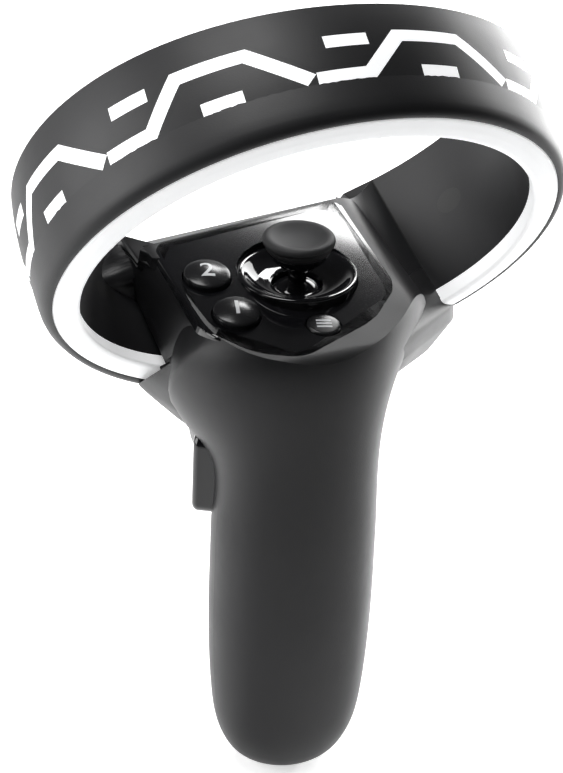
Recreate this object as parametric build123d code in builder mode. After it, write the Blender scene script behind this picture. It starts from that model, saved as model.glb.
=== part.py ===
from build123d import *
from math import cos, radians, sin, tan
import os

# Motion controller wand: an upright grip whose neck bends back into a tilted
# tracking ring, with a thumb platform inside the ring. Millimetres, +Z up along
# the grip, +X to the right of the person who holds it, +Y away from them.

# Grip: nearly oval in section, narrowing to a rounded tip.
GRIP_HALF_WIDTH = 18.7
GRIP_HALF_DEPTH = 16.2
GRIP_LENGTH = 65.2
WALL = 1.8
GRIP_SHARES = (
    (0.0, 0.37),
    (0.018, 0.53),
    (0.05, 0.675),
    (0.1, 0.785),
    (0.17, 0.872),
    (0.27, 0.928),
    (0.4, 0.966),
    (0.55, 0.99),
    (0.7, 1.0),
    (0.85, 1.0),
    (1.0, 0.995),
)

# Ring: a short wide band about its own axis, which leans back and turns a little
# to the right. Its own x runs right, its y down to the grip, its z away along the axis.
# RING_RISE and RING_SETBACK give the point from which its foot lies RING_DROP down its y.
RING_RISE = 13.75
RING_SETBACK = 0.8
RING_DROP = 56.3
RING_TILT = 57.4
RING_YAW = 3.9
RING_RADIUS = 56.3
RING_THICKNESS = 7.0
RING_BULGE = 1.7
RING_BULGE_SWEEP = 150.0
RING_WIDTH = 30.0
RING_SKIN = 1.4
RIM_SLANT = 1.3
RIM_STRIP_DEPTH = 1.8
RIM_STEM = 4.5
RIM_STEM_THICKNESS = 1.6
SEAM_LEFT = 33.0
SEAM_RIGHT = 52.0
SPLIT_INSET = 6.3

# Light lines on the outer band and the oval plugs on its inside.
LIGHT_LINE_WIDTH = 3.2
LIGHT_SECTORS = 6
WAVE_SHARES = ((-1.0, 0.36), (-0.52, 0.36), (-0.16, 0.68), (0.5, 0.68), (1.0, 0.36))
UPPER_BAR_SHARES = ((-0.86, 0.66), (-0.46, 0.66))
LOWER_BAR_SHARES = ((0.0, 0.36), (0.4, 0.36))
PLUG_LENGTH = 6.6
PLUG_WIDTH = 4.6
PLUG_ANGLES = (-44.0, 66.0)
PLUG_PLACE = 17.0
FLEX_THICKNESS = 0.5

# Head: the neck grows through these sections into the mound under the thumb.
NECK_DROP = 34.3
NECK_HALF_WIDTH = 18.9
NECK_HALF_DEPTH = 19.0
NECK_TILT = 31.8
THROAT_SETBACK = 2.5
THROAT_DROP = 22.5
THROAT_HALF_WIDTH = 24.0
THROAT_HALF_DEPTH = 26.4
THROAT_TILT = 48.5
MOUND_HALF_WIDTH = 32.2
MOUND_SIDE = 3.6
MOUND_INSET = 1.7
MOUND_HEIGHT_NEAR = 49.3
MOUND_HEIGHT_FAR = 38.3

# Platform: the slightly sloping top of the mound and its glossy panel.
PLATFORM_RISE = 50.3
PLATFORM_SETBACK = 14.1
PLATFORM_SLOPE = 9.0
PLATFORM_LEFT = 21.4
PLATFORM_RIGHT = 23.6
PLATFORM_FRONT = 26.6
PLATFORM_ROUND = 9.0
PLATFORM_FALL = 62.0
PANEL_THICKNESS = 1.2
PANEL_CORNER = 5.0
PANEL_BACK_LEFT = (-21.0, 16.3)
PANEL_BACK_RIGHT = (23.2, 21.5)
PANEL_RIGHT = (21.1, -12.3)
PANEL_FRONT = (-6.0, -26.4)
PANEL_LEFT = (-20.5, -12.0)

# Thumb stick: dish, dome, gimbal and cap, with its axis along +Z.
STICK_RIGHT = 4.8
DISH_RADIUS = 13.2
DISH_LIP = 1.2
DISH_RAISE = 0.5
DISH_HOLE_RADIUS = 5.6
DISH_DROP = 2.5
DISH_THICKNESS = 1.1
DISH_SKIRT = 4.0
PIVOT_DEPTH = 9.2
DOME_RADIUS = 7.5
DOME_THICKNESS = 0.7
DOME_REACH = 60.0
STICK_RADIUS = 1.3
NECK_RADIUS = 2.0
STICK_TAIL = 3.2
CAP_RADIUS = 7.95
CAP_THICKNESS = 3.2
CAP_TOP = 8.9
CAP_DISH = 1.0
CAP_SKIRT_RADIUS = 6.6
CAP_SKIRT = 1.6
GIMBAL_RADIUS = 4.7
GIMBAL_BORE = 3.5
GIMBAL_HEIGHT = 2.2
GIMBAL_PIN_RADIUS = 0.7
YOKE_RADIUS = 2.7
YOKE_HEIGHT = 3.0
HOUSING_ROOM = 8.1
HOUSING_WALL = 1.2
HOUSING_DEPTH = 6.6
HOUSING_RIM = 1.9
POT_RADIUS = 3.4
POT_THICKNESS = 2.6

# Buttons on the panel.
BUTTON_RADIUS = 5.1
BUTTON_PROUD = 2.3
BUTTON_CROWN = 1.2
BUTTON_SKIRT = 4.0
BUTTON_FLANGE = 0.5
BUTTON_FLANGE_THICKNESS = 0.8
BUTTON_TRAVEL = 1.0
MENU_RADIUS = 3.7
MENU_PROUD = 0.5
BUTTON_TWO_PLACE = (-14.9, 3.9)
BUTTON_ONE_PLACE = (-13.8, -10.2)
MENU_PLACE = (3.0, -18.4)
DOME_SWITCH_RADIUS = 2.0
DOME_SWITCH_HEIGHT = 0.7
BOARD_THICKNESS = 1.2
BOARD_SETBACK = 6.2
POST_RADIUS = 1.8
POST_PLACES = ((18.5, -9.0), (-4.5, -20.5), (-12.0, 15.0))

# Trigger under the back of the ring.
TRIGGER_HALF_WIDTH = 8.6
TRIGGER_SETBACK = 23.6
TRIGGER_DROP = 27.5
TRIGGER_ROOT_RADIUS = 4.4
TRIGGER_REACH = 30.0
TRIGGER_TIP_THICKNESS = 5.4
TRIGGER_HANG = 62.0
TRIGGER_BEND = 5.0
TRIGGER_EDGE = 0.9
TRIGGER_FRONT_SHARES = (0.88, 0.8)
TRIGGER_BACK_SHARES = (0.93, 0.5)
TRIGGER_PIN_RADIUS = 1.25
TRIGGER_SLOT_GAP = 0.5
SPRING_GAP = 0.2
SPRING_WIRE = 0.7
SPRING_LENGTH = 5.0

# Grip button on the left flank behind the seam of the two shells.
SQUEEZE_ANGLE = 32.0
SQUEEZE_WIDTH = 11.0
SQUEEZE_HEIGHT = 20.0
SQUEEZE_RISE = 8.5
SQUEEZE_OUT = 22.3
SQUEEZE_DEPTH = 8.0
SQUEEZE_CORNER = 3.0
SQUEEZE_TRAVEL = 1.4
SQUEEZE_FLANGE = 1.0

# Cell, boards and motor inside the grip.
CELL_RADIUS = 9.1
CELL_LENGTH = 50.0
CELL_FOOT = 9.5
CRADLE_WALL = 1.0
CRADLE_BAND = 7.0
MAIN_BOARD_HALF_WIDTH = 9.0
MAIN_BOARD_LENGTH = 28.0
MOTOR_RADIUS = 5.0
MOTOR_THICKNESS = 3.6
MOTOR_RISE = 10.8
SWITCH_SIDE = 3.2

# Charging socket and wrist strap eye at the foot of the grip.
SOCKET_HALF_WIDTH = 4.5
SOCKET_HALF_HEIGHT = 1.65
SOCKET_LENGTH = 7.0
SOCKET_SKIN = 0.35
STRAP_EYE_RADIUS = 1.5
STRAP_EYE_WALL = 1.6
STRAP_EYE_LENGTH = 6.0
STRAP_EYE_HEIGHT = 9.0

# Fits shared by all pieces, the overrun of every cut and the share of an edge that is rounded.
RUNNING_GAP = 0.3
PIN_GAP = 0.05
OVERRUN = 4.0
REACH = 2.0 * RING_RADIUS
EDGE_SHARE = 0.8

os.makedirs("parts", exist_ok=True)
pieces = []


def finish(piece, label):
    piece.part.label = label
    pieces.append(piece.part)


# Heights that follow the grip's length and the platform.
platform_height = GRIP_LENGTH + PLATFORM_RISE
trigger_height = platform_height - TRIGGER_DROP
squeeze_height = GRIP_LENGTH + SQUEEZE_RISE
motor_height = GRIP_LENGTH + MOTOR_RISE

# The ring's plane and the places on it that other pieces share.
ring_axis = Vector(
    sin(radians(RING_TILT)) * sin(radians(RING_YAW)),
    sin(radians(RING_TILT)) * cos(radians(RING_YAW)),
    cos(radians(RING_TILT)),
)
ring_right = Vector(cos(radians(RING_YAW)), -sin(radians(RING_YAW)), 0)
ring_down = ring_axis.cross(ring_right)
ring_middle = (
    Vector(0, RING_SETBACK, platform_height + RING_RISE) + ring_down * (RING_DROP - RING_RADIUS)
)
RING = Plane(origin=ring_middle, x_dir=ring_right, z_dir=ring_axis)
ring_inner = RING_RADIUS - RING_THICKNESS
free_arc = 360.0 - SEAM_LEFT - SEAM_RIGHT


def ring_direction(angle):
    """Unit vector out from the ring's axis; 0 degrees points down to the grip, + to the right."""
    return RING.x_dir * sin(radians(angle)) + RING.y_dir * cos(radians(angle))


def radial_plane(angle):
    """Plane through the ring's axis: x out from it, y away along it."""
    out = ring_direction(angle)
    return Plane(origin=RING.origin, x_dir=out, z_dir=out.cross(RING.z_dir))


def outer_radius(place):
    """Outer radius of the band, which swells and then closes in again along its width."""
    share = place / RING_WIDTH
    return RING_RADIUS + RING_BULGE * sin(radians(RING_BULGE_SWEEP * share))


def ring_section(inner, outer_inset, near, far):
    """Closed outline between a plain inner radius and the swelling outside, less an inset."""
    middle = (near + far) / 2
    with BuildLine() as outline:
        skin = Spline(
            (outer_radius(near) - outer_inset, near),
            (outer_radius(middle) - outer_inset, middle),
            (outer_radius(far) - outer_inset, far),
        )
        Polyline(skin @ 1, (inner, far), (inner, near), skin @ 0)
    return outline


seam_plane = radial_plane(-SEAM_LEFT)
ring_line = Axis(RING.origin, RING.z_dir)

# The platform's plane, level across and sloping up away from the user.
platform_up = Vector(0, -sin(radians(PLATFORM_SLOPE)), cos(radians(PLATFORM_SLOPE)))
PLATFORM = Plane(
    origin=(0, PLATFORM_SETBACK, platform_height), x_dir=(1, 0, 0), z_dir=platform_up
)
STICK = Plane(origin=(STICK_RIGHT, PLATFORM_SETBACK, platform_height + DISH_RAISE))
PIVOT = STICK.offset(-PIVOT_DEPTH)


def form_sections(inset):
    """Planes and half sizes of the sections that the grip and neck grow through."""
    sections = []
    foot = inset
    for height_share, width_share in GRIP_SHARES:
        level = foot + (GRIP_LENGTH - foot) * height_share
        sections.append(
            (
                Plane.XY.offset(level),
                GRIP_HALF_WIDTH * width_share - inset,
                GRIP_HALF_DEPTH * width_share - inset,
            )
        )
    for setback, drop, tilt, half_width, half_depth in (
        (0.0, NECK_DROP, NECK_TILT, NECK_HALF_WIDTH, NECK_HALF_DEPTH),
        (THROAT_SETBACK, THROAT_DROP, THROAT_TILT, THROAT_HALF_WIDTH, THROAT_HALF_DEPTH),
    ):
        leaning = Plane(
            origin=(0, setback, platform_height - drop),
            x_dir=(1, 0, 0),
            z_dir=(0, sin(radians(tilt)), cos(radians(tilt))),
        )
        sections.append((leaning, half_width - inset, half_depth - inset))
    far = RING_WIDTH - inset
    for place in (0.0, far / 2, far):
        fall = (MOUND_HEIGHT_NEAR - MOUND_HEIGHT_FAR) * place / RING_WIDTH
        top = RING_RADIUS - MOUND_HEIGHT_NEAR + fall + inset
        bottom = RING_RADIUS - MOUND_INSET - inset
        middle = RING.offset(place).location * Location((MOUND_SIDE, (top + bottom) / 2, 0))
        sections.append((Plane(middle), MOUND_HALF_WIDTH - inset, (bottom - top) / 2))
    return sections


def form_faces(inset):
    """The sections as faces, set in from the outside by a wall."""
    faces = []
    for plane, half_width, half_depth in form_sections(inset):
        with BuildSketch(plane) as section:
            Ellipse(half_width, half_depth)
        faces.append(section.sketch.face())
    return faces


outer_faces = form_faces(0.0)
inner_faces = form_faces(WALL)

def above_platform(plane, low, high, depth):
    """Face over the platform, on a plane across it, whose two ends fall away in round shoulders."""
    radius = PLATFORM_ROUND - depth
    fall = radians(PLATFORM_FALL)
    reach = radius * sin(fall)
    drop = PLATFORM_ROUND - radius * cos(fall)
    far = REACH * cos(fall)
    deep = drop + REACH * sin(fall)
    half = radians(PLATFORM_FALL / 2)
    bend = PLATFORM_ROUND - radius * cos(half)
    with BuildSketch(plane) as section:
        with BuildLine():
            Polyline(
                (low - reach, -drop),
                (low - reach - far, -deep),
                (low - reach - far, REACH),
                (high + reach + far, REACH),
                (high + reach + far, -deep),
                (high + reach, -drop),
            )
            ThreePointArc(
                (high + reach, -drop), (high + radius * sin(half), -bend), (high, -depth)
            )
            Line((high, -depth), (low, -depth))
            ThreePointArc(
                (low, -depth), (low - radius * sin(half), -bend), (low - reach, -drop)
            )
        make_face()
    return section.sketch.face()


across = Plane(origin=PLATFORM.origin, x_dir=PLATFORM.x_dir, z_dir=-PLATFORM.y_dir)
along = Plane(origin=PLATFORM.origin, x_dir=PLATFORM.y_dir, z_dir=PLATFORM.x_dir)

# Outside of both shells: grip, neck, mound and the ring's lower arc in one form.
with BuildPart() as form:
    loft(outer_faces)
    extrude(
        above_platform(across, -PLATFORM_LEFT, PLATFORM_RIGHT, 0),
        amount=REACH, both=True, mode=Mode.SUBTRACT,
    )
    extrude(
        above_platform(along, -PLATFORM_FRONT, REACH, 0),
        amount=REACH, both=True, mode=Mode.SUBTRACT,
    )
    with BuildSketch(seam_plane):
        with Locations((ring_inner + REACH / 2, RING_WIDTH / 2)):
            Rectangle(REACH, RING_WIDTH + 2 * OVERRUN)
    revolve(axis=ring_line, revolution_arc=free_arc, mode=Mode.SUBTRACT)
    with BuildSketch(seam_plane):
        make_face(ring_section(ring_inner, 0.0, 0.0, RING_WIDTH).edges())
    revolve(axis=ring_line, revolution_arc=-(SEAM_LEFT + SEAM_RIGHT))


# Room inside both shells, under the platform's skin.
with BuildPart() as room:
    loft(inner_faces)
    extrude(
        above_platform(across, -PLATFORM_LEFT, PLATFORM_RIGHT, PANEL_THICKNESS + WALL),
        amount=REACH, both=True, mode=Mode.SUBTRACT,
    )
    extrude(
        above_platform(along, -PLATFORM_FRONT, REACH, PANEL_THICKNESS + WALL),
        amount=REACH, both=True, mode=Mode.SUBTRACT,
    )

# The same room less a running gap, from which fitted inner pieces are cut.
with BuildPart() as seat_room:
    loft(form_faces(WALL + RUNNING_GAP))

# Everything in front of the parting line: up the side of the grip, then along the ring's axis.
lean = radians(RING_TILT)
split_depth = RING_RADIUS - SPLIT_INSET
split_start = (
    ring_middle.Y + split_depth * cos(lean),
    ring_middle.Z - split_depth * sin(lean),
)
split_corner = (0.0, split_start[1] - split_start[0] / tan(lean))
split_end = (REACH * sin(lean), split_corner[1] + REACH * cos(lean))
with BuildPart() as front_side:
    with BuildSketch(Plane.YZ):
        with BuildLine():
            Polyline(
                (0, -REACH),
                split_corner,
                split_end,
                (REACH, 2 * REACH),
                (-REACH, 2 * REACH),
                (-REACH, -REACH),
                close=True,
            )
        make_face()
    extrude(amount=REACH, both=True)

# Places shared by the platform's pieces.
panel_corners = (
    PANEL_BACK_LEFT,
    PANEL_BACK_RIGHT,
    PANEL_RIGHT,
    PANEL_FRONT,
    PANEL_LEFT,
)
button_places = (
    ("button_one", BUTTON_ONE_PLACE, BUTTON_RADIUS, BUTTON_PROUD),
    ("button_two", BUTTON_TWO_PLACE, BUTTON_RADIUS, BUTTON_PROUD),
    ("menu_button", MENU_PLACE, MENU_RADIUS, MENU_PROUD),
)
skin_depth = PANEL_THICKNESS + WALL
BOARD = PLATFORM.offset(-BOARD_SETBACK)
housing_half = HOUSING_ROOM + HOUSING_WALL


def panel_outline(inset):
    """The panel's rounded outline on the platform, less an inset."""
    with BuildSketch() as outline:
        with BuildLine():
            Polyline(*panel_corners, close=True)
        make_face()
        fillet(outline.vertices(), PANEL_CORNER)
        offset(amount=-inset)
    return outline.sketch


# Trigger plane: x down and back along the blade, y up and back, z to the right.
hang = radians(TRIGGER_HANG)
TRIGGER = Plane(
    origin=(0, TRIGGER_SETBACK, trigger_height),
    x_dir=(0, cos(hang), -sin(hang)),
    z_dir=(1, 0, 0),
)
slot_half = TRIGGER_HALF_WIDTH + TRIGGER_SLOT_GAP
ear_half = slot_half + TRIGGER_PIN_RADIUS + RUNNING_GAP

# Grip button plane: z out through the left flank, x level towards the back, y up.
squeeze_out = Vector(-cos(radians(SQUEEZE_ANGLE)), sin(radians(SQUEEZE_ANGLE)), 0)
SQUEEZE = Plane(
    origin=squeeze_out * SQUEEZE_OUT + Vector(0, 0, squeeze_height),
    x_dir=Vector(0, 0, 1).cross(squeeze_out),
    z_dir=squeeze_out,
)
SOCKET = Plane(origin=(0, 0, 0), x_dir=(1, 0, 0), z_dir=(0, 0, 1))
eye_setback = GRIP_HALF_DEPTH * GRIP_SHARES[4][1] + STRAP_EYE_RADIUS + RUNNING_GAP

# Openings that the parting line crosses: the grip button's and the charging socket's.
with BuildPart() as side_openings:
    with BuildSketch(SQUEEZE.offset(OVERRUN)):
        RectangleRounded(
            SQUEEZE_WIDTH + 2 * RUNNING_GAP,
            SQUEEZE_HEIGHT + 2 * RUNNING_GAP,
            SQUEEZE_CORNER,
        )
    extrude(amount=-SQUEEZE_DEPTH - 2 * OVERRUN)
    with BuildSketch(SOCKET.offset(-OVERRUN)):
        SlotOverall(2 * SOCKET_HALF_WIDTH, 2 * SOCKET_HALF_HEIGHT)
    extrude(amount=SOCKET_LENGTH + OVERRUN)

# Front shell: the front of the grip, the neck and the platform, moulded in one.
with BuildPart() as front_shell:
    add(form.part)
    add(room.part, mode=Mode.SUBTRACT)
    add(front_side.part, mode=Mode.INTERSECT)
    with BuildSketch(PLATFORM):
        add(panel_outline(0.0))
    extrude(amount=-PANEL_THICKNESS, mode=Mode.SUBTRACT)
    with BuildSketch(STICK.offset(-2 * BOARD_SETBACK)):
        Circle(DISH_RADIUS + RUNNING_GAP / 2)
    extrude(amount=REACH, mode=Mode.SUBTRACT)
    for name, place, radius, proud in button_places:
        with BuildSketch(PLATFORM):
            with Locations(place):
                Circle(radius + RUNNING_GAP)
        extrude(amount=-skin_depth - OVERRUN, mode=Mode.SUBTRACT)
    add(side_openings.part, mode=Mode.SUBTRACT)
    with BuildSketch(BOARD.offset(RUNNING_GAP)):
        with Locations(*POST_PLACES):
            Circle(POST_RADIUS)
    extrude(amount=BOARD_SETBACK - RUNNING_GAP - skin_depth + WALL / 2)
finish(front_shell, "front_shell")

# Rear shell: the back of the grip and the underside of the neck, with the trigger's ears.
with BuildPart() as rear_shell:
    add(form.part)
    add(room.part, mode=Mode.SUBTRACT)
    add(front_side.part, mode=Mode.SUBTRACT)
    with BuildSketch(TRIGGER):
        Circle(TRIGGER_ROOT_RADIUS)
        with Locations((TRIGGER_ROOT_RADIUS, 0)):
            Rectangle(2 * TRIGGER_ROOT_RADIUS, 2 * TRIGGER_ROOT_RADIUS)
    extrude(amount=ear_half, both=True)
    with BuildSketch(TRIGGER):
        with Locations((TRIGGER_REACH / 2 - TRIGGER_ROOT_RADIUS, -TRIGGER_ROOT_RADIUS)):
            Rectangle(
                TRIGGER_REACH + 2 * TRIGGER_SLOT_GAP,
                4 * TRIGGER_ROOT_RADIUS + 2 * TRIGGER_SLOT_GAP,
            )
    extrude(amount=slot_half, both=True, mode=Mode.SUBTRACT)
    with BuildSketch(TRIGGER):
        Circle(TRIGGER_PIN_RADIUS + PIN_GAP)
    extrude(amount=ear_half + OVERRUN, both=True, mode=Mode.SUBTRACT)
    add(side_openings.part, mode=Mode.SUBTRACT)
    with BuildSketch(Plane.YZ):
        with Locations((eye_setback, STRAP_EYE_HEIGHT)):
            Circle(STRAP_EYE_RADIUS + STRAP_EYE_WALL)
    extrude(amount=STRAP_EYE_LENGTH / 2, both=True)
    with BuildSketch(Plane.YZ):
        with Locations((eye_setback, STRAP_EYE_HEIGHT)):
            Circle(STRAP_EYE_RADIUS)
    extrude(amount=STRAP_EYE_LENGTH, both=True, mode=Mode.SUBTRACT)
finish(rear_shell, "rear_shell")


# Ring: two skins with the light strip of the rim, the LED strip and the plugs between them.
def ring_piece_section(near, far, inner, outer_inset):
    with BuildSketch(seam_plane) as section:
        make_face(ring_section(inner, outer_inset, near, far).edges())
    return section.sketch.face()


def sector_plane(angle):
    """Plane that touches the ring at an angle: x round the ring, y away along its axis."""
    out = ring_direction(angle)
    return Plane(origin=RING.origin + out * ring_inner, x_dir=RING.z_dir.cross(out), z_dir=out)


sector_arc = free_arc / LIGHT_SECTORS
sector_half = RING_RADIUS * sin(radians(sector_arc / 2))


def light_lines(clearance):
    """Strips of the light lines in one sector, as a flat sketch."""
    with BuildSketch() as lines:
        for shares in (WAVE_SHARES, UPPER_BAR_SHARES, LOWER_BAR_SHARES):
            points = [(sector_half * x, RING_WIDTH * y) for x, y in shares]
            with BuildLine() as path:
                Polyline(*points)
            trace(path.line, LIGHT_LINE_WIDTH + 2 * clearance)
    return lines.sketch


sector_planes = [
    sector_plane(SEAM_RIGHT + sector_arc * (number + 0.5)) for number in range(LIGHT_SECTORS)
]
outer_skin = ring_piece_section(RIM_STRIP_DEPTH, RING_WIDTH, RING_RADIUS - RING_SKIN, 0.0)
with BuildPart() as outer_skin_form:
    revolve(outer_skin, axis=ring_line, revolution_arc=free_arc)
with BuildPart() as light_prisms:
    for plane in sector_planes:
        with BuildSketch(plane):
            add(light_lines(0.0))
        extrude(amount=2 * RING_THICKNESS)

with BuildPart() as pattern_light_guides:
    add(outer_skin_form.part)
    add(light_prisms.part, mode=Mode.INTERSECT)
finish(pattern_light_guides, "pattern_light_guides")

with BuildPart() as ring_outer_band:
    add(outer_skin_form.part)
    add(light_prisms.part, mode=Mode.SUBTRACT)
    with BuildSketch(seam_plane):
        with Locations((ring_inner + RING_THICKNESS / 2, RING_WIDTH - RING_SKIN / 2)):
            Rectangle(RING_THICKNESS - 2 * RING_SKIN, RING_SKIN)
    revolve(axis=ring_line, revolution_arc=free_arc)
finish(ring_outer_band, "ring_outer_band")

with BuildPart() as plug_prisms:
    for angle in PLUG_ANGLES:
        with BuildSketch(sector_plane(angle).offset(-RING_SKIN)):
            with Locations((0, PLUG_PLACE)):
                Ellipse(PLUG_LENGTH / 2, PLUG_WIDTH / 2)
        extrude(amount=4 * RING_SKIN)

with BuildPart() as inner_skin_form:
    with BuildSketch(seam_plane):
        with Locations((ring_inner + RING_SKIN / 2, (RIM_STRIP_DEPTH + RING_WIDTH) / 2)):
            Rectangle(RING_SKIN, RING_WIDTH - RIM_STRIP_DEPTH)
    revolve(axis=ring_line, revolution_arc=free_arc)

with BuildPart() as ring_inner_band:
    add(inner_skin_form.part)
    add(plug_prisms.part, mode=Mode.SUBTRACT)
finish(ring_inner_band, "ring_inner_band")

with BuildPart() as screw_plugs:
    add(inner_skin_form.part)
    add(plug_prisms.part, mode=Mode.INTERSECT)
finish(screw_plugs, "screw_plugs")

stem_middle = ring_inner + RING_THICKNESS / 2
with BuildPart() as rim_light_guide:
    with BuildSketch(seam_plane):
        with BuildLine():
            Polyline(
                (RING_RADIUS, 0),
                (RING_RADIUS, RIM_STRIP_DEPTH),
                (ring_inner, RIM_STRIP_DEPTH),
                (ring_inner, -RIM_SLANT),
                close=True,
            )
        make_face()
        with Locations((stem_middle, RIM_STRIP_DEPTH + RIM_STEM / 2)):
            Rectangle(RIM_STEM_THICKNESS, RIM_STEM)
    revolve(axis=ring_line, revolution_arc=free_arc)
finish(rim_light_guide, "rim_light_guide")

flex_radius = ring_inner + RING_SKIN + RUNNING_GAP
flex_near = RIM_STRIP_DEPTH + RUNNING_GAP
flex_far = RING_WIDTH - RING_SKIN - RUNNING_GAP
with BuildPart() as ring_led_strip:
    with BuildSketch(seam_plane):
        with Locations((flex_radius + FLEX_THICKNESS / 2, (flex_near + flex_far) / 2)):
            Rectangle(FLEX_THICKNESS, flex_far - flex_near)
    revolve(axis=ring_line, revolution_arc=free_arc)
finish(ring_led_strip, "ring_led_strip")

# Glossy panel let into the platform.
with BuildPart() as control_panel:
    with BuildSketch(PLATFORM):
        add(panel_outline(RUNNING_GAP / 2))
    extrude(amount=-PANEL_THICKNESS)
    add(form.part, mode=Mode.INTERSECT)
    with BuildSketch(STICK.offset(-REACH / 2)):
        Circle(DISH_RADIUS + RUNNING_GAP / 2)
    extrude(amount=REACH, mode=Mode.SUBTRACT)
    with BuildSketch(PLATFORM.offset(OVERRUN)):
        for name, place, radius, proud in button_places:
            with Locations(place):
                Circle(radius + RUNNING_GAP)
    extrude(amount=-PANEL_THICKNESS - 2 * OVERRUN, mode=Mode.SUBTRACT)
finish(control_panel, "control_panel")

# Thumb stick dish: a lip, a concave floor round the stem's hole, and a skirt.
stick_side = Plane(origin=STICK.origin, x_dir=(1, 0, 0), z_dir=(0, -1, 0))
stick_line = Axis(STICK.origin, STICK.z_dir)
with BuildPart() as stick_dish:
    with BuildSketch(stick_side):
        with BuildLine():
            lip = Line((DISH_RADIUS, 0), (DISH_RADIUS - DISH_LIP, 0))
            floor = RadiusArc(
                lip @ 1, (DISH_HOLE_RADIUS, -DISH_DROP), 2 * DISH_RADIUS, short_sagitta=True
            )
            Polyline(
                floor @ 1,
                (DISH_HOLE_RADIUS, -DISH_DROP - DISH_THICKNESS),
                (DISH_RADIUS - DISH_LIP, -DISH_DROP),
                (DISH_RADIUS - DISH_LIP, -DISH_SKIRT),
                (DISH_RADIUS, -DISH_SKIRT),
                lip @ 0,
            )
        make_face()
    revolve(axis=stick_line)
finish(stick_dish, "stick_dish")

# Stick: tail, stem and the dome that closes the dish's hole, turned in one piece.
pivot_side = Plane(origin=PIVOT.origin, x_dir=(1, 0, 0), z_dir=(0, -1, 0))
cap_seat = PIVOT_DEPTH + CAP_TOP - CAP_THICKNESS
dome_end = radians(DOME_REACH)
dome_inner = DOME_RADIUS - DOME_THICKNESS
with BuildPart() as stick:
    with BuildSketch(PIVOT.offset(-STICK_TAIL)):
        Circle(STICK_RADIUS)
    extrude(amount=STICK_TAIL + DOME_RADIUS)
    with BuildSketch(PIVOT.offset(dome_inner)):
        Circle(NECK_RADIUS)
    extrude(amount=cap_seat - dome_inner)
    with BuildSketch(pivot_side):
        with BuildLine():
            outer_arc = ThreePointArc(
                (0, DOME_RADIUS),
                (DOME_RADIUS * sin(dome_end / 2), DOME_RADIUS * cos(dome_end / 2)),
                (DOME_RADIUS * sin(dome_end), DOME_RADIUS * cos(dome_end)),
            )
            inner_arc = ThreePointArc(
                (dome_inner * sin(dome_end), dome_inner * cos(dome_end)),
                (dome_inner * sin(dome_end / 2), dome_inner * cos(dome_end / 2)),
                (0, dome_inner),
            )
            Line(outer_arc @ 1, inner_arc @ 0)
            Line(inner_arc @ 1, outer_arc @ 0)
        make_face()
    revolve(axis=stick_line)
finish(stick, "stick")

# Rubber cap: a dished top on a stepped flange.
cap_top = PIVOT_DEPTH + CAP_TOP
hollow_radius = CAP_RADIUS - CAP_DISH
hollow_sphere = (hollow_radius**2 + CAP_DISH**2) / (2 * CAP_DISH)
with BuildPart() as thumb_cap:
    with BuildSketch(PIVOT.offset(cap_seat)):
        Circle(CAP_SKIRT_RADIUS)
    extrude(amount=CAP_SKIRT / 2)
    with BuildSketch(PIVOT.offset(cap_seat + CAP_SKIRT / 2)):
        Circle(CAP_RADIUS)
    extrude(amount=CAP_THICKNESS - CAP_SKIRT / 2)
    rims = thumb_cap.edges().filter_by(GeomType.CIRCLE).group_by(Axis.Z)
    fillet(rims[-1], CAP_DISH * EDGE_SHARE)
    with Locations(PIVOT.offset(cap_top + hollow_sphere - CAP_DISH).location):
        Sphere(hollow_sphere, mode=Mode.SUBTRACT)
finish(thumb_cap, "thumb_cap")

# Gimbal ring on two pins along X, and the yoke inside it on two pins along Y.
with BuildPart() as gimbal_ring:
    with BuildSketch(PIVOT.offset(-GIMBAL_HEIGHT / 2)):
        Circle(GIMBAL_RADIUS)
        Circle(GIMBAL_BORE, mode=Mode.SUBTRACT)
    extrude(amount=GIMBAL_HEIGHT)
    for side in (-1, 1):
        with BuildSketch(Plane(PIVOT.origin, x_dir=(0, 1, 0), z_dir=(side, 0, 0)).offset(
            (GIMBAL_RADIUS + GIMBAL_BORE) / 2
        )):
            Circle(GIMBAL_PIN_RADIUS)
        extrude(amount=housing_half - (GIMBAL_RADIUS + GIMBAL_BORE) / 2)
    with BuildSketch(Plane(PIVOT.origin, x_dir=(1, 0, 0), z_dir=(0, 1, 0))):
        Circle(GIMBAL_PIN_RADIUS + PIN_GAP)
    extrude(amount=GIMBAL_RADIUS + OVERRUN, both=True, mode=Mode.SUBTRACT)
finish(gimbal_ring, "gimbal_ring")

with BuildPart() as tilt_yoke:
    with BuildSketch(PIVOT.offset(-YOKE_HEIGHT / 2)):
        Circle(YOKE_RADIUS)
    extrude(amount=YOKE_HEIGHT)
    with BuildSketch(Plane(PIVOT.origin, x_dir=(1, 0, 0), z_dir=(0, 1, 0))):
        Circle(GIMBAL_PIN_RADIUS)
    extrude(amount=GIMBAL_RADIUS, both=True)
    with BuildSketch(PIVOT.offset(-YOKE_HEIGHT)):
        Circle(STICK_RADIUS + PIN_GAP)
    extrude(amount=2 * YOKE_HEIGHT, mode=Mode.SUBTRACT)
finish(tilt_yoke, "tilt_yoke")

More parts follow.
